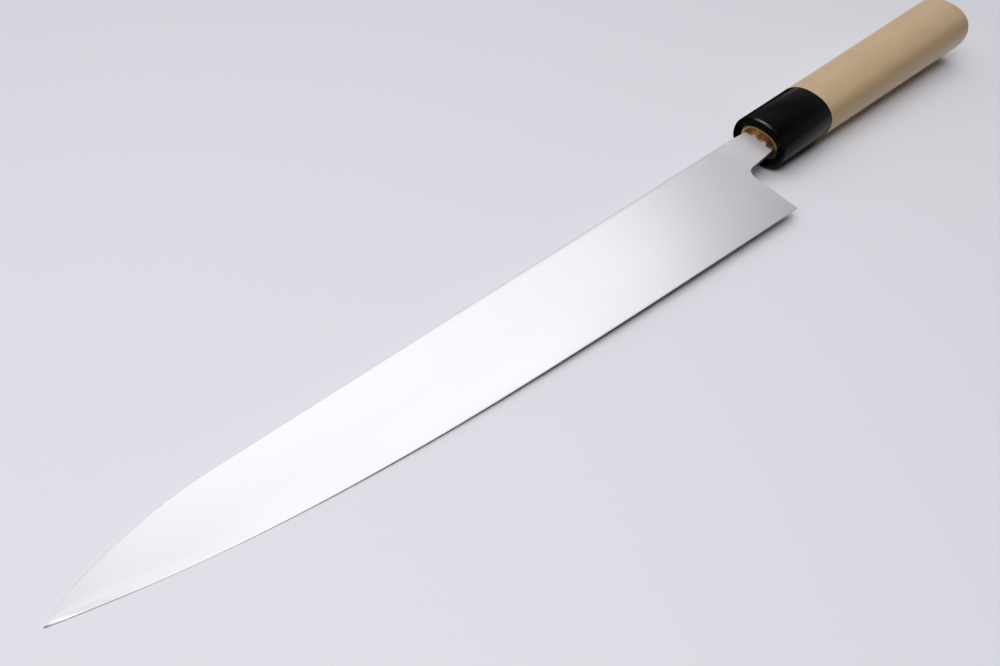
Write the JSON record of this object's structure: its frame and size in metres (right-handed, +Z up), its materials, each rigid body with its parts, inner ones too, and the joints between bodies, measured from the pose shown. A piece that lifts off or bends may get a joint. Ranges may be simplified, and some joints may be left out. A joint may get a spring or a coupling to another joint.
{
  "type": "sujihiki knife",
  "caption": "Long narrow slicing knife with a satin steel blade, a black horn ferrule and a tapering oval wooden handle, lying on its right side.",
  "frame": {"origin": "centre of the bounding box's base: z = 0 is the table that the knife lies on", "axes": "+X from the blade's point towards the butt, +Y across the blade from its edge towards its spine, +Z up from the table, out of the blade's left face"},
  "size_m": [0.423, 0.0464, 0.0248],
  "materials": {
    "steel": "satin steel, ground fine along the blade",
    "horn": "polished black horn",
    "wood": "magnolia, sanded smooth and left without varnish",
    "resin": "amber resin, set glossy"
  },
  "bodies": {
    "root": {"blade": "steel", "ferrule": "horn", "handle": "wood", "tang_seal": "resin"}
  },
  "joints": []
}
